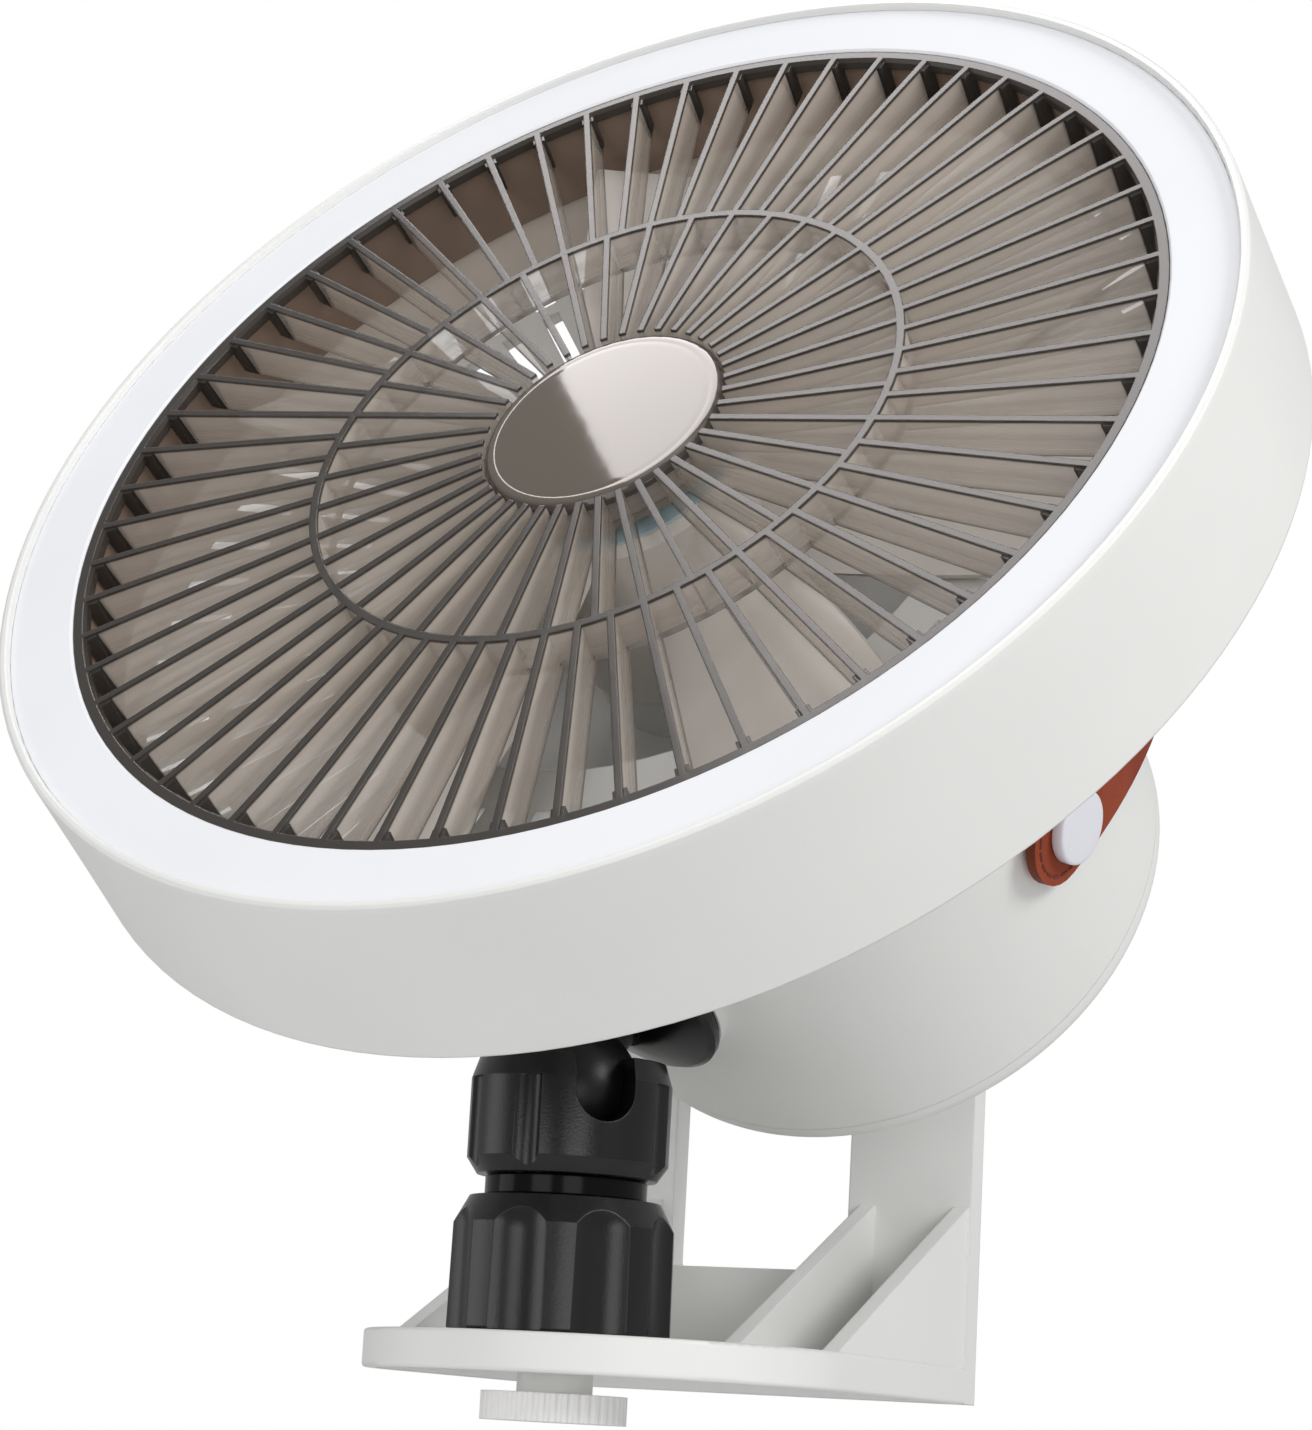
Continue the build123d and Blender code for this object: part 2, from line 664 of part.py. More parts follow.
with BuildPart() as indicator_lenses:
    with BuildSketch(rear.offset(-housing_length + 0.1)):
        with Locations((0, 18)):
            with GridLocations(5.0, 1, 4, 1):
                Circle(0.9)
    extrude(amount=3.0)
indicator_lenses.part.label = "indicator_lenses"

with BuildPart() as charge_port:
    with BuildSketch(rear.offset(-housing_length + 0.6)):
        with Locations((0, -22)):
            SlotOverall(9.6, 3.8)
            SlotOverall(8.8, 3.0, mode=Mode.SUBTRACT)
    extrude(amount=5.0)
    with BuildSketch(rear.offset(-housing_length + 5.0)):
        with Locations((0, -22)):
            SlotOverall(9.4, 3.6)
    extrude(amount=1.2)
    with BuildSketch(rear.offset(-housing_length + 1.4)):
        with Locations((0, -22)):
            Rectangle(6.4, 0.8)
    extrude(amount=4.0)
charge_port.part.label = "charge_port"

with BuildPart() as cap_screws:
    with BuildSketch(rear.offset(-housing_length + 2.6)):
        with PolarLocations(screw_ring_r, 4, start_angle=45):
            Circle(2.6)
            RegularPolygon(1.2, 6, mode=Mode.SUBTRACT)
    extrude(amount=-1.6)
    with BuildSketch(rear.offset(-housing_length + 2.6)):
        with PolarLocations(screw_ring_r, 4, start_angle=45):
            Circle(2.6)
    extrude(amount=-0.5)
    with BuildSketch(rear.offset(-housing_length + 2.6)):
        with PolarLocations(screw_ring_r, 4, start_angle=45):
            Circle(1.25)
    extrude(amount=7.0)
cap_screws.part.label = "cap_screws"

# Strap posts, strap and its two snap caps
with BuildPart() as strap_posts:
    for place in post_planes:
        with BuildSketch(place.offset(housing_r - 1.0)):
            Circle(post_r)
        extrude(amount=strap_inner + strap_thickness - housing_r + 1.0)
strap_posts.part.label = "strap_posts"

strap_middle = strap_inner + strap_thickness / 2
with BuildPart() as strap:
    with BuildSketch(strap_plane):
        Ellipse(strap_inner + strap_thickness, strap_height + strap_thickness)
        Ellipse(strap_inner, strap_height, mode=Mode.SUBTRACT)
        with Locations((0, -100)):
            Rectangle(200, 200, mode=Mode.SUBTRACT)
        with GridLocations(2 * strap_middle, 1, 2, 1):
            with Locations((0, -strap_tab / 2 - strap_width / 4)):
                Rectangle(strap_thickness, strap_tab + strap_width / 2 + 0.02)
    extrude(amount=strap_width / 2, both=True)
    for place in post_planes:
        with BuildSketch(place):
            with Locations(place.to_local_coords(strap_end - strap_up * strap_width / 2)):
                Rectangle(strap_width + 2, strap_width)
            with Locations(place.to_local_coords(strap_end)):
                Circle(strap_width / 2, mode=Mode.SUBTRACT)
        extrude(amount=80.0, mode=Mode.SUBTRACT)
        with BuildSketch(place):
            Circle(post_r + 0.3)
        extrude(amount=80.0, mode=Mode.SUBTRACT)
strap.part.label = "strap"

with BuildPart() as snap_caps:
    for place in post_planes:
        with BuildSketch(place.offset(strap_inner + strap_thickness + 0.05)):
            Circle(snap_r)
        extrude(amount=snap_height)
    chamfer(snap_caps.edges().filter_by(GeomType.CIRCLE), 0.4)
snap_caps.part.label = "snap_caps"

pieces = (
    wall_bracket, thumb_knob, thumb_stud, mount_base, neck_ring, lower_collar, ball_housing,
    ball_stem, platform_disc, platform_pad, tripod_stud, barrel_shell, light_ring, led_tray,
    led_board, leds, air_duct, front_grille, grille_cap, impeller, hub_spinner, motor_rotor,
    motor_stator, motor_shaft, motor_mount, intake_guard, rear_housing, tripod_insert, bulkhead,
    control_board, cells, cell_holder, rear_cap, power_button, speed_button, light_button,
    indicator_lenses, charge_port, cap_screws, strap_posts, strap, snap_caps,
)
for piece in pieces:
    export_step(piece.part, "parts/" + piece.part.label + ".step")
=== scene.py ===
import bpy
from math import cos, radians, sin
from mathutils import Matrix, Vector


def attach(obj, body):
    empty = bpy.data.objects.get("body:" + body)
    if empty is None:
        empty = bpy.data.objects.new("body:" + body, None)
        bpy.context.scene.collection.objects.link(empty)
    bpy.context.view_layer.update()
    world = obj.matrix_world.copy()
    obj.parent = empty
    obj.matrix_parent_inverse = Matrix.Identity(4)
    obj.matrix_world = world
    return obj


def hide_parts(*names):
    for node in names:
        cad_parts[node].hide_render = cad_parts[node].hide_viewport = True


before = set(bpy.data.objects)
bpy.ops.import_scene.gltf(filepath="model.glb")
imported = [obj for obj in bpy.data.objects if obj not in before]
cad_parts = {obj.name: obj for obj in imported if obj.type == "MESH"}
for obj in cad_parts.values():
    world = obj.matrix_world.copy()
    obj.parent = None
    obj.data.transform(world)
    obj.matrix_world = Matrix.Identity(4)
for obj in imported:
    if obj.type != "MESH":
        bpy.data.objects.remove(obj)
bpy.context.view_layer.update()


# Places of the barrel, the rear housing and the strap, in metres and degrees
barrel_middle = Vector((0.01646, -0.15158, 0.06172))
barrel_pitch = 33.22
barrel_yaw = 7.79
housing_pitch = 23.87
housing_yaw = 5.0
housing_start = 0.040
strap_station = 0.0535
strap_angle = radians(-17.2)
strap_lean = radians(-13.4)


def direction(pitch, yaw):
    level = cos(radians(pitch))
    return Vector((-sin(radians(yaw)) * level, -cos(radians(yaw)) * level, sin(radians(pitch))))


def facing(origin, normal):
    across = Vector((-normal.y, normal.x, 0)).normalized()
    turn = Matrix((across, normal.cross(across), normal)).transposed().to_4x4()
    return Matrix.Translation(origin) @ turn


front = facing(barrel_middle, direction(barrel_pitch, barrel_yaw))
front_way = front.to_3x3().col[2]
rear = facing(front.translation - front_way * housing_start, direction(housing_pitch, housing_yaw))
rear_across, rear_up, rear_way = rear.to_3x3().col
strap_middle = rear.translation - rear_way * strap_station
strap_across = rear_across * cos(strap_angle) + rear_up * sin(strap_angle)
strap_rise = rear_up * cos(strap_angle) - rear_across * sin(strap_angle)
strap_up = strap_rise * cos(strap_lean) + rear_way * sin(strap_lean)
strap_side = rear_way * cos(strap_lean) - strap_rise * sin(strap_lean)
strap_turn = Matrix((strap_across, strap_side * -1, strap_up)).transposed().to_4x4()
strap_place = Matrix.Translation(strap_middle) @ strap_turn

# Measures of the grille that its smoke plastic follows
rib_front = 0.0004
# Depth of the band of painted shade along each rib's front edge
rib_edge_shade = 0.0009
rib_reach = 0.0965
skirt_inside = 0.0997
mask_width = 0.0002


# Materials
def new_material(name):
    material = bpy.data.materials.new(name)
    material.use_nodes = True
    tree = material.node_tree
    shader = tree.nodes["Principled BSDF"]
    return material, tree, shader


def object_coordinates(tree):
    return tree.nodes.new("ShaderNodeTexCoord").outputs["Object"]


def noise(tree, scale, detail=2, rough=0.55, where=None):
    node = tree.nodes.new("ShaderNodeTexNoise")
    node.inputs["Scale"].default_value = scale
    node.inputs["Detail"].default_value = detail
    node.inputs["Roughness"].default_value = rough
    tree.links.new(where or object_coordinates(tree), node.inputs["Vector"])
    return node.outputs["Fac"]


def darker(colour, share):
    return tuple(c * share for c in colour)


def ramp(tree, value, low, high):
    """A colour between low and high that follows the middle third of a value's range."""
    node = tree.nodes.new("ShaderNodeValToRGB")
    for stop, position, colour in zip(node.color_ramp.elements, (0.35, 0.65), (low, high)):
        stop.position = position
        stop.color = (*colour, 1)
    tree.links.new(value, node.inputs["Fac"])
    return node.outputs["Color"]


def mask(tree, value, start, end):
    """0 up to the start value and 1 from the end value on."""
    node = tree.nodes.new("ShaderNodeMapRange")
    node.inputs["From Min"].default_value = start
    node.inputs["From Max"].default_value = end
    tree.links.new(value, node.inputs["Value"])
    return node.outputs["Result"]


def spread(tree, value, low, high):
    node = tree.nodes.new("ShaderNodeMapRange")
    node.inputs["To Min"].default_value = low
    node.inputs["To Max"].default_value = high
    tree.links.new(value, node.inputs["Value"])
    return node.outputs["Result"]


def bump(tree, shader, height, strength, distance, edge=0.0):
    """Fine relief in the shading, and edges rounded to a radius."""
    node = tree.nodes.new("ShaderNodeBump")
    node.inputs["Strength"].default_value = strength
    node.inputs["Distance"].default_value = distance
    tree.links.new(height, node.inputs["Height"])
    if edge:
        rounding = tree.nodes.new("ShaderNodeBevel")
        rounding.samples = 6
        rounding.inputs["Radius"].default_value = edge
        tree.links.new(rounding.outputs["Normal"], node.inputs["Normal"])
    tree.links.new(node.outputs["Normal"], shader.inputs["Normal"])


def plastic(name, colour, rough=(0.4, 0.5), grain=1400, strength=0.12, distance=0.0001,
            vary=0.03, edge=0.0, shine=0.5):
    material, tree, shader = new_material(name)
    shader.inputs["Specular IOR Level"].default_value = shine
    cloud = noise(tree, 18)
    tree.links.new(ramp(tree, cloud, darker(colour, 1 - vary), colour), shader.inputs["Base Color"])
    fine = noise(tree, grain, 2, 0.6)
    tree.links.new(spread(tree, fine, *rough), shader.inputs["Roughness"])
    bump(tree, shader, fine, strength, distance, edge)
    return material


def measure(tree, kind, value, fixed):
    """The distance of a point from a fixed one, or how far a vector reaches along a fixed way."""
    node = tree.nodes.new("ShaderNodeVectorMath")
    node.operation = kind
    node.inputs[1].default_value = fixed
    tree.links.new(value, node.inputs[0])
    return node.outputs["Value"]


def faces_forward(tree):
    """1 on faces that look along the barrel's axis and 0 on the others."""
    normal = tree.nodes.new("ShaderNodeTexCoord").outputs["Normal"]
    return mask(tree, measure(tree, "DOT_PRODUCT", normal, front_way), 0.8, 0.98)


def beyond(tree, radius):
    """0 nearer the middle of the grille than the radius and 1 further out."""
    reach = measure(tree, "DISTANCE", object_coordinates(tree), front.translation)
    return mask(tree, reach, radius - mask_width, radius + mask_width)


def height_on_axis(tree):
    return measure(tree, "DOT_PRODUCT", object_coordinates(tree), front_way)


def front_edge(tree, depth):
    """1 on the first stretch of a rib behind its front face and 0 further back: where the band of painted
    shade along each rib's front edge goes.
    """
    start = front_way.dot(front.translation) - rib_front
    return mask(tree, height_on_axis(tree), start - depth, start - depth / 2)


def streaks(tree, scale):
    """Fine lines along the ribs: noise that changes only with the depth in the barrel."""
    line = tree.nodes.new("ShaderNodeCombineXYZ")
    tree.links.new(height_on_axis(tree), line.inputs["X"])
    return noise(tree, scale, 2, 0.5, line.outputs["Vector"])


def blend(tree, factor, first, second):
    """The first colour where the factor is 0 and the second where it is 1."""
    node = tree.nodes.new("ShaderNodeMixRGB")
    tree.links.new(factor, node.inputs["Fac"])
    for place, value in (("Color1", first), ("Color2", second)):
        if isinstance(value, tuple):
            node.inputs[place].default_value = (*value, 1)
        else:
            tree.links.new(value, node.inputs[place])
    return node.outputs["Color"]


def smoke(name, side, end, skirt, face, opacity, shine, rough, edge):
    """Clear tinted plastic: its sides let light through, its rim and front faces less. A near-black band of
    painted shade runs along each rib's sides just behind its front face.
    """
    material, tree, shader = new_material(name)
    shader.inputs["Specular IOR Level"].default_value = shine
    forward = faces_forward(tree)
    outward = beyond(tree, rib_reach)
    lines = streaks(tree, 800)
    # A near-black, nearly opaque band of painted shade along each rib's front edge, in the colour of the
    # rib ends
    edge_shade = front_edge(tree, rib_edge_shade)
    body = blend(tree, edge_shade, ramp(tree, lines, darker(side, 0.7), side), end)
    body = blend(tree, outward, body, end)
    body = blend(tree, beyond(tree, skirt_inside), body, skirt)
    tree.links.new(blend(tree, forward, body, face), shader.inputs["Base Color"])
    clear, thick, dense = [(share, share, share) for share in opacity]
    cover = blend(tree, edge_shade, ramp(tree, lines, thick, clear), dense)
    cover = blend(tree, outward, cover, dense)
    tree.links.new(blend(tree, forward, cover, dense), shader.inputs["Alpha"])
    tree.links.new(spread(tree, noise(tree, 300), *rough), shader.inputs["Roughness"])
    bump(tree, shader, noise(tree, 260), 0.03, 0.0001, edge)
    return material


def metal(name, colour):
    material, tree, shader = new_material(name)
    lines = noise(tree, 500, 3, 0.6)
    tree.links.new(ramp(tree, lines, darker(colour, 0.88), colour), shader.inputs["Base Color"])
    tree.links.new(spread(tree, lines, 0.22, 0.38), shader.inputs["Roughness"])
    shader.inputs["Metallic"].default_value = 1.0
    return material


def leather(name, low, high):
    material, tree, shader = new_material(name)
    cloud = noise(tree, 60, 4)
    tree.links.new(ramp(tree, cloud, low, high), shader.inputs["Base Color"])
    cells = tree.nodes.new("ShaderNodeTexVoronoi")
    cells.feature = "DISTANCE_TO_EDGE"
    cells.inputs["Scale"].default_value = 1500
    tree.links.new(object_coordinates(tree), cells.inputs["Vector"])
    tree.links.new(spread(tree, cells.outputs["Distance"], 0.62, 0.5), shader.inputs["Roughness"])
    shader.inputs["Specular IOR Level"].default_value = 0.2
    bump(tree, shader, cells.outputs["Distance"], 0.5, 0.00025)
    return material


bracket_white = plastic("bracket_white", (0.80, 0.80, 0.785), (0.38, 0.5), 1500, 0.15, edge=0.0006)
shell_white = plastic("shell_white", (0.80, 0.80, 0.78), (0.36, 0.48), 1600, 0.15, edge=0.0005)
knob_white = plastic("knob_white", (0.85, 0.845, 0.83), (0.38, 0.5), 1500, edge=0.0004)
diffuser = plastic("diffuser_white", (0.865, 0.88, 0.91), (0.5, 0.6), 1800, 0.05, edge=0.0003, shine=0.1)
board_white = plastic("board_white", (0.82, 0.82, 0.80), (0.3, 0.45))
board_green = plastic("board_green", (0.03, 0.16, 0.07), (0.25, 0.4), 500, 0.1, vary=0.2)
led_yellow = plastic("led_yellow", (0.85, 0.70, 0.25), (0.25, 0.4), 900)
collar_black = plastic("collar_black", (0.006, 0.006, 0.0075), (0.16, 0.3), 2600, 0.35,
                       vary=0.3, edge=0.00035, shine=0.4)
ball_black = plastic("ball_black", (0.006, 0.006, 0.007), (0.3, 0.42), 1500, 0.2, edge=0.0003, shine=0.3)
gloss_black = plastic("gloss_black", (0.004, 0.004, 0.005), (0.10, 0.18), 900, 0.04,
                      edge=0.0003, shine=0.12)
pad_rubber = plastic("pad_rubber", (0.02, 0.02, 0.02), (0.7, 0.85), 1500, 0.4)
snap_white = plastic("snap_white", (0.78, 0.78, 0.84), (0.2, 0.3), 500, 0.03, edge=0.0003)
cell_blue = plastic("cell_blue", (0.03, 0.08, 0.25), (0.2, 0.3), 400, 0.05)
duct_beige = plastic("duct_beige", (0.74, 0.67, 0.60), (0.3, 0.42), 1200, 0.1)
blade_grey = plastic("blade_grey", (0.80, 0.76, 0.71), (0.4, 0.5), 600, 0.08, vary=0.05, shine=0.25)
hub_blue = plastic("hub_blue", (0.56, 0.72, 0.79), (0.16, 0.24), 300, 0.05, vary=0.12)
thread_brown = plastic("thread_brown", (0.17, 0.035, 0.016), (0.6, 0.75), 3000, 0.6, vary=0.2)
# end colours the rib ends and also the band of painted shade behind each rib's front face
smoke_rib = smoke("smoke_rib", side=(0.80, 0.72, 0.64), end=(0.05, 0.042, 0.036),
                  skirt=(0.27, 0.195, 0.15), face=(0.05, 0.044, 0.04),
                  opacity=(0.32, 0.56, 0.93), shine=0.24, rough=(0.14, 0.24), edge=0.0003)
smoke_cap = smoke("smoke_cap", side=(0.10, 0.085, 0.07), end=(0.1, 0.08, 0.07),
                  skirt=(0.1, 0.08, 0.07), face=(0.12, 0.10, 0.08),
                  opacity=(0.9, 0.9, 1.0), shine=0.5, rough=(0.035, 0.07), edge=0.0002)
steel = metal("steel_brushed", (0.60, 0.60, 0.60))
brass = metal("brass_turned", (0.72, 0.52, 0.22))
copper = metal("motor_copper", (0.70, 0.36, 0.18))
leather_tan = leather("leather_tan", (0.22, 0.036, 0.014), (0.31, 0.057, 0.022))
leather_edge = leather("leather_edge", (0.10, 0.022, 0.010), (0.17, 0.036, 0.016))

finishes = {
    bracket_white: ("wall_bracket", "cell_holder", "bulkhead", "motor_mount"),
    shell_white: ("barrel_shell", "intake_guard", "rear_housing", "rear_cap", "led_tray"),
    knob_white: ("thumb_knob",),
    diffuser: ("light_ring", "indicator_lenses"),
    board_white: ("led_board",),
    board_green: ("control_board",),
    led_yellow: ("leds",),
    collar_black: ("mount_base", "lower_collar", "ball_housing", "platform_disc"),
    gloss_black: ("neck_ring",),
    ball_black: ("ball_stem",),
    pad_rubber: ("platform_pad",),
    snap_white: ("snap_caps", "power_button", "speed_button", "light_button"),
    cell_blue: ("cells",),
    duct_beige: ("air_duct",),
    smoke_rib: ("front_grille",),
    smoke_cap: ("grille_cap",),
    blade_grey: ("impeller",),
    hub_blue: ("hub_spinner",),
    steel: ("thumb_stud", "tripod_stud", "motor_rotor", "motor_shaft", "charge_port", "cap_screws",
            "strap_posts"),
    brass: ("tripod_insert",),
    copper: ("motor_stator",),
}
for finish, nodes in finishes.items():
    for node in nodes:
        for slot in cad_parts[node].material_slots:
            slot.material = finish


# Modelling helpers
touching = 0.000001


def start():
    """Object mode with nothing selected."""
    if bpy.context.object and bpy.context.object.mode != "OBJECT":
        bpy.ops.object.mode_set(mode="OBJECT")
    bpy.ops.object.select_all(action="DESELECT")


def take(*pieces):
    """Only these pieces selected, the first of them active."""
    start()
    for piece in pieces:
        piece.select_set(True)
    bpy.context.view_layer.objects.active = pieces[0]


def pick(piece, test):
    """Edit mode with the points selected whose place passes the test."""
    bpy.ops.object.mode_set(mode="OBJECT")
    for point in piece.data.vertices:
        point.select = test(point.co)
    for edge in piece.data.edges:
        edge.select = all(piece.data.vertices[i].select for i in edge.vertices)
    for face in piece.data.polygons:
        face.select = all(piece.data.vertices[i].select for i in face.vertices)
    bpy.ops.object.mode_set(mode="EDIT")


def apply_modifiers(piece):
    take(piece)
    for modifier in list(piece.modifiers):
        bpy.ops.object.modifier_apply(modifier=modifier.name)


def settle(piece, place, material, body, name, smooth):
    """The piece moved to its place with its origin at the frame's, named, finished and riding its body."""
    take(piece)
    piece.name = name
    piece.matrix_world = place @ piece.matrix_world
    bpy.ops.object.transform_apply(location=True, rotation=True, scale=True)
    bpy.ops.object.shade_smooth_by_angle(angle=radians(smooth))
    if not piece.data.materials:
        piece.data.materials.append(material)
    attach(piece, body)


def turned(rows, steps):
    """A solid turned from rows of (radius, height): one circle, extruded from row to row and closed."""
    start()
    radius, height = rows[0]
    bpy.ops.mesh.primitive_circle_add(vertices=steps, radius=radius, location=(0, 0, height))
    piece = bpy.context.object
    bpy.ops.object.transform_apply(location=True)
    bpy.ops.object.mode_set(mode="EDIT")
    bpy.ops.mesh.select_all(action="SELECT")
    for next_radius, next_height in rows[1:]:
        bpy.ops.mesh.extrude_edges_move(TRANSFORM_OT_translate={"value": (0, 0, next_height - height)})
        scale = next_radius / radius
        bpy.ops.transform.resize(value=(scale, scale, 1), center_override=(0, 0, next_height))
        radius, height = next_radius, next_height
    for r, h in (rows[0], rows[-1]):
        pick(piece, lambda co: abs(co.xy.length - r) < touching and abs(co.z - h) < touching)
        bpy.ops.mesh.edge_face_add()
    bpy.ops.mesh.select_all(action="SELECT")
    bpy.ops.mesh.normals_make_consistent(inside=False)
    bpy.ops.object.mode_set(mode="OBJECT")
    return piece


# Carry strap
strap_inner = 0.0593
strap_thick = 0.0020
strap_half = 0.00945
strap_height = 0.092
strap_tab = 0.0027
strap_outer = strap_inner + strap_thick
strap_mid = strap_inner + strap_thick / 2
strap_rounding = 0.00045
strap_columns = 8
strap_end_angles = (14, 28, 42, 55, 67, 78, 87)


def make_strap():
    start()
    bpy.ops.mesh.primitive_circle_add(vertices=160, radius=strap_mid, rotation=(radians(90), 0, 0))
    strap = bpy.context.object
    bpy.ops.object.transform_apply(rotation=True)
    bpy.ops.object.mode_set(mode="EDIT")
    bpy.ops.mesh.select_all(action="SELECT")
    bpy.ops.mesh.bisect(plane_co=(0, 0, 0), plane_no=(0, 0, 1), clear_inner=True)
    bpy.ops.mesh.select_all(action="SELECT")
    bpy.ops.transform.resize(value=(1, 1, (strap_height + strap_thick / 2) / strap_mid),
                             center_override=(0, 0, 0))
    bpy.ops.transform.translate(value=(0, -strap_half, 0))
    for column in range(strap_columns):
        bpy.ops.mesh.extrude_edges_move(
            TRANSFORM_OT_translate={"value": (0, 2 * strap_half / strap_columns, 0)})
    pick(strap, lambda co: co.z < touching)
    bpy.ops.mesh.extrude_edges_move(TRANSFORM_OT_translate={"value": (0, 0, -strap_tab)})
    low = 0
    wide = strap_half
    for angle in strap_end_angles:
        drop = strap_half * sin(radians(angle))
        half = strap_half * cos(radians(angle))
        bpy.ops.mesh.extrude_edges_move(TRANSFORM_OT_translate={"value": (0, 0, low - drop)})
        bpy.ops.transform.resize(value=(1, half / wide, 1), center_override=(0, 0, 0))
        low = drop
        wide = half
    bpy.ops.mesh.select_all(action="SELECT")
    bpy.ops.mesh.normals_make_consistent(inside=False)
    bpy.ops.object.mode_set(mode="OBJECT")
    strap.data.materials.append(leather_tan)
    strap.data.materials.append(leather_edge)
    wall = strap.modifiers.new("thickness", "SOLIDIFY")
    wall.thickness = strap_thick
    wall.offset = 0
    wall.use_even_offset = True
    wall.material_offset_rim = 1
    apply_modifiers(strap)
    edges = strap.modifiers.new("edges", "BEVEL")
    edges.width = strap_rounding
    edges.segments = 3
    edges.limit_method = "ANGLE"
    edges.angle_limit = radians(50)
    apply_modifiers(strap)
    settle(strap, strap_place, leather_tan, "carry_strap", "leather_strap", 35)
    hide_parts("strap")


stitch_inset = 0.0018
stitch_pitch = 0.0027
stitch_length = 0.0021
stitch_radius = 0.00028
stitch_steps = 9


def stitch_places():
    """A line of stitches round each end of the strap: place, way along and way out of each."""
    places = []
    side = strap_half - stitch_inset
    for sign in (-1, 1):
        out = Vector((sign, 0, 0))
        for step in range(stitch_steps + 1):
            angle = radians(180 + 180 / stitch_steps * step)
            point = Vector((sign * strap_outer, side * cos(angle), side * sin(angle) - strap_tab))
            places.append((point, Vector((0, -sin(angle), cos(angle))), out))
        for across in (-side, side):
            for rise in (stitch_pitch, 2 * stitch_pitch):
                point = Vector((sign * strap_outer, across, rise - strap_tab))
                places.append((point, Vector((0, 0, 1)), out))
    return places


def make_stitches():
    start()
    bpy.ops.mesh.primitive_cylinder_add(vertices=8, radius=stitch_radius, depth=stitch_length)
    stitch = bpy.context.object
    bpy.ops.object.mode_set(mode="EDIT")
    bpy.ops.mesh.select_all(action="SELECT")
    bpy.ops.mesh.bevel(offset=0.0002, segments=2, affect="EDGES")
    bpy.ops.object.mode_set(mode="OBJECT")
    copies = []
    for point, along, out in stitch_places():
        turn = Matrix((along.cross(out).normalized(), out, along)).transposed().to_4x4()
        copy = stitch.copy()
        copy.data = stitch.data.copy()
        copy.data.transform(Matrix.Translation(point + out * 0.00002) @ turn)
        bpy.context.collection.objects.link(copy)
        copies.append(copy)
    bpy.data.objects.remove(stitch)
    take(*copies)
    bpy.ops.object.join()
    stitches = copies[0]
    settle(stitches, strap_place, thread_brown, "carry_strap", "strap_stitching", 60)


# Snap buttons, one on each end of the strap
button_radius = 0.0069
button_height = 0.0026
button_gap = 0.00005


def make_snap_buttons():
    rows = ((0.0004, button_height + 0.00008), (button_radius * 0.45, button_height + 0.00007),
            (button_radius - 0.0009, button_height), (button_radius - 0.0004, button_height - 0.00006),
            (button_radius - 0.0001, button_height - 0.00022), (button_radius, button_height - 0.0005),
            (button_radius, 0.0003), (button_radius - 0.0003, 0))
    pair = []
    for sign in (1, -1):
        button = turned(rows, 96)
        way = strap_across * sign
        place = Matrix((strap_side, way.cross(strap_side), way)).transposed().to_4x4()
        place.translation = strap_middle + way * (strap_outer + button_gap)
        button.data.transform(place)
        pair.append(button)
    take(*pair)
    bpy.ops.object.join()
    buttons = pair[0]
    settle(buttons, Matrix(), snap_white, "carry_strap", "snap_buttons", 50)
    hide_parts("snap_caps")


# Cap in the middle of the grille, a little domed, with a fine groove inside its edge
def make_grille_cap():
    rows = ((0.0003, -0.00040), (0.005, -0.00043), (0.010, -0.00051), (0.015, -0.00065), (0.0186, -0.00079),
            (0.0196, -0.00084), (0.0199, -0.0009), (0.0202, -0.00085), (0.0212, -0.0009), (0.0218, -0.0012),
            (0.0224, -0.0019), (0.0225, -0.0028), (0.0192, -0.0028), (0.0192, -0.0044))
    cap = turned(rows, 128)
    settle(cap, front, smoke_cap, "head", "domed_cap", 30)
    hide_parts("grille_cap")


make_strap()
make_stitches()
make_snap_buttons()
make_grille_cap()


# Camera, lights and surroundings
def add_camera():
    """The camera solved from the photograph."""
    data = bpy.data.cameras.new("camera")
    camera = bpy.data.objects.new("camera", data)
    bpy.context.collection.objects.link(camera)
    right = Vector((0.92974, 0.36424, 0.05395))
    up = Vector((0.02093, -0.19856, 0.97987))
    back = Vector((0.36762, -0.90989, -0.19223))
    turn = Matrix((right, up, back)).transposed().to_4x4()
    camera.matrix_world = Matrix.Translation((0.25959, -0.72004, -0.1114)) @ turn
    data.sensor_fit = "HORIZONTAL"
    data.sensor_width = 36
    data.lens = 102.4
    data.clip_start = 0.01
    bpy.context.scene.camera = camera


def add_lamp(name, power, place):
    data = bpy.data.lights.new(name, "AREA")
    data.energy = power
    lamp = bpy.data.objects.new(name, data)
    bpy.context.collection.objects.link(lamp)
    lamp.matrix_world = place
    return lamp


def add_round_lamp(name, place, target, size, power):
    way = target - Vector(place)
    turn = way.to_track_quat("-Z", "Y").to_matrix().to_4x4()
    lamp = add_lamp(name, power, Matrix.Translation(place) @ turn)
    lamp.data.shape = "DISK"
    lamp.data.size = size


def add_softbox(name, place, sides, power):
    """A square-edged lamp, mirrored in the grille's front faces and in its cap."""
    lamp = add_lamp(name, power, place)
    lamp.data.shape = "RECTANGLE"
    lamp.data.size = sides[0]
    lamp.data.size_y = sides[1]
    lamp.data.color = (1, 0.955, 0.95)
    lamp.visible_diffuse = False


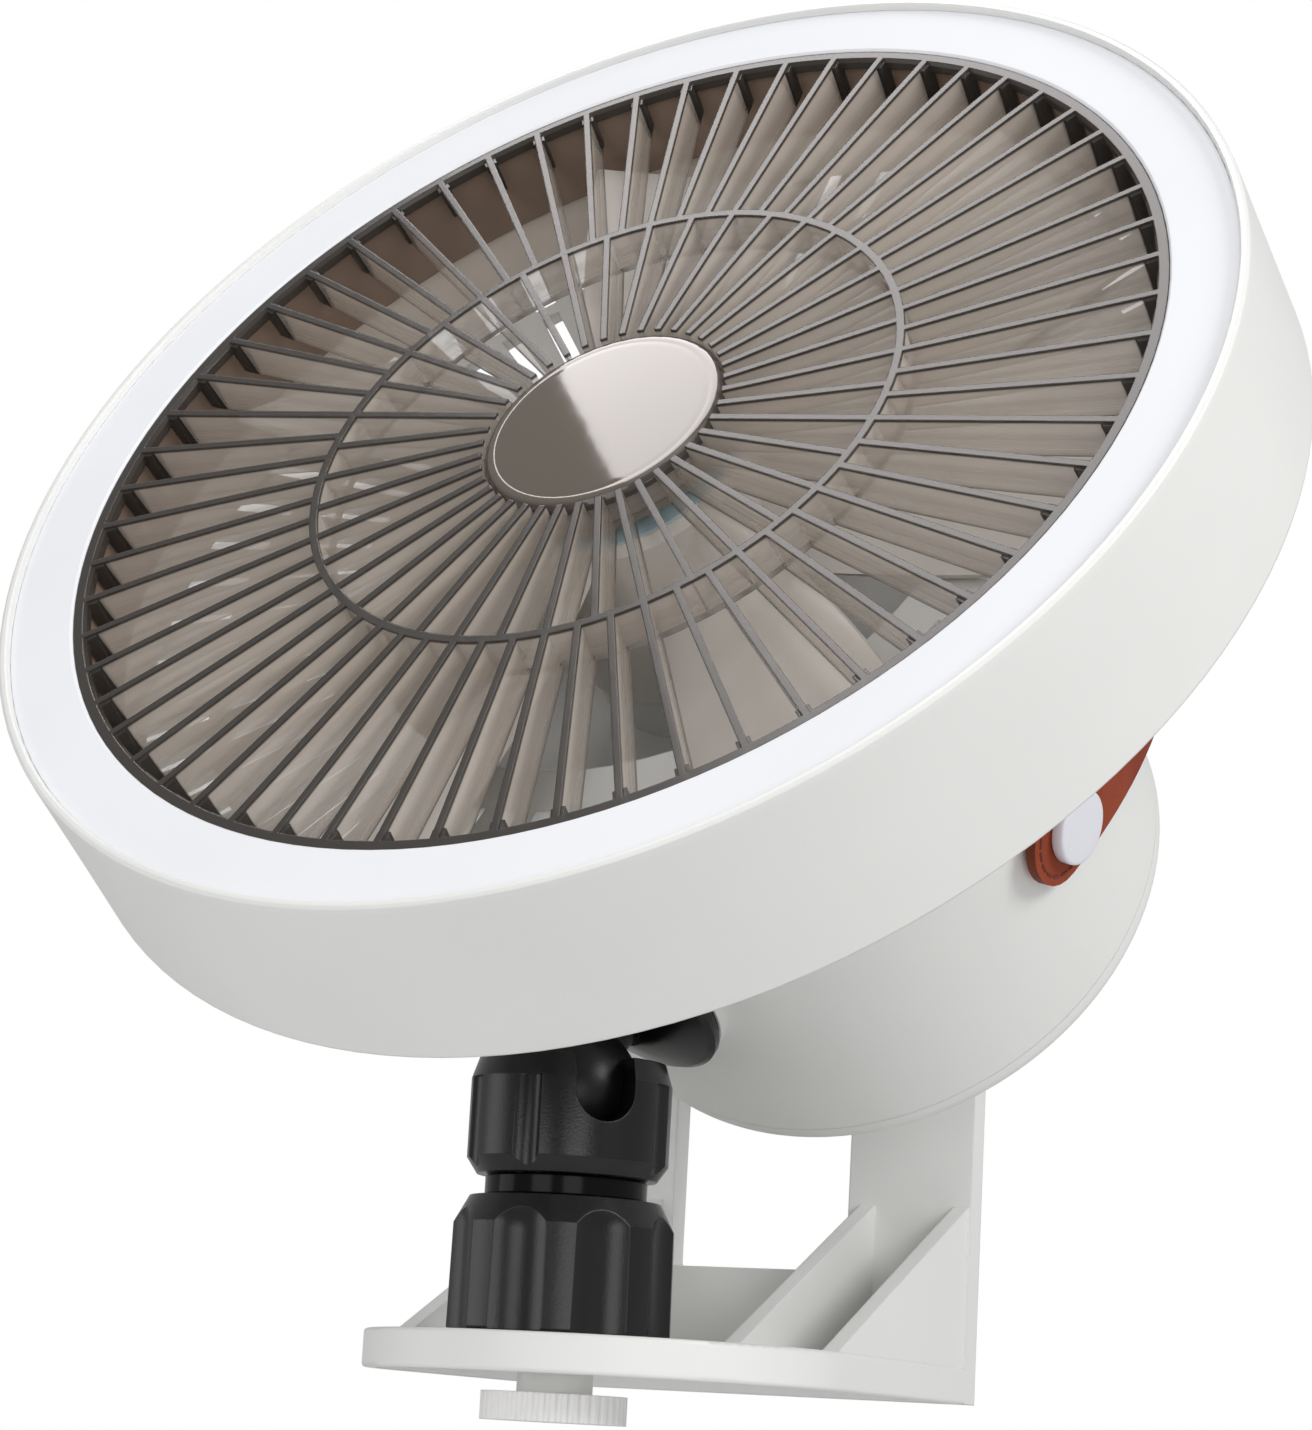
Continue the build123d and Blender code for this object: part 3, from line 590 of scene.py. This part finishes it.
def add_world():
    world = bpy.data.worlds.new("studio")
    bpy.context.scene.world = world
    world.use_nodes = True
    tree = world.node_tree
    background = tree.nodes["Background"]
    background.inputs["Color"].default_value = (1, 1, 1, 1)
    path = tree.nodes.new("ShaderNodeLightPath")
    strength = tree.nodes.new("ShaderNodeMapRange")
    strength.inputs["To Min"].default_value = 0.46
    strength.inputs["To Max"].default_value = 1.0
    tree.links.new(path.outputs["Is Camera Ray"], strength.inputs["Value"])
    tree.links.new(strength.outputs["Result"], background.inputs["Strength"])


def add_floor():
    bpy.ops.mesh.primitive_plane_add(size=2.4, location=(0, -0.1, -0.9))
    floor = bpy.context.object
    floor.name = "studio_floor"
    material, tree, shader = new_material("floor_pale")
    tree.links.new(ramp(tree, noise(tree, 2, 3), (0.86, 0.86, 0.86), (0.88, 0.88, 0.88)),
                   shader.inputs["Base Color"])
    shader.inputs["Roughness"].default_value = 0.8
    floor.data.materials.append(material)


# The softbox stands where the camera sees it mirrored in the barrel's front plane,
# with its edge across the cap
mirrored = Vector((-0.4982, -0.0205, 0.8668))
level = Vector((0.0412, -0.9992, 0))
softbox_turn = radians(10)
softbox_sides = (0.9, 0.6)
softbox_distance = 1.25
softbox_edge = -0.0226


def place_of_softbox():
    upward = mirrored.cross(level)
    along = level * cos(softbox_turn) + upward * sin(softbox_turn)
    across = mirrored.cross(along)
    middle = front.translation + mirrored * softbox_distance
    middle += across * (softbox_edge + softbox_sides[1] / 2)
    return Matrix.Translation(middle) @ Matrix((along, across, mirrored)).transposed().to_4x4()


add_camera()
add_world()
add_floor()
add_softbox("softbox", place_of_softbox(), softbox_sides, 12.5)
fan_middle = Vector((0, -0.1, 0))
shelf_middle = Vector((0, -0.06, -0.06))
above_axis = front.translation + front_way + Vector((0, 0, 0.5))
add_round_lamp("fill_low", (0.8, -1.4, -0.15), fan_middle, 0.8, 3.5)
add_round_lamp("fill_left", (-0.3, -1.5, 0.2), fan_middle, 0.8, 3.3)
add_round_lamp("key_right", (1.3, -0.5, 0.7), fan_middle, 0.6, 10.4)
add_round_lamp("fill_top", (0.5, -1.0, 1.1), fan_middle, 0.8, 2)
add_round_lamp("fill_side", (-1.0, -0.45, -0.12), shelf_middle, 0.6, 1.2)
add_round_lamp("fill_axis", above_axis, front.translation, 0.6, 1.1)
bpy.context.scene.view_settings.view_transform = "Standard"
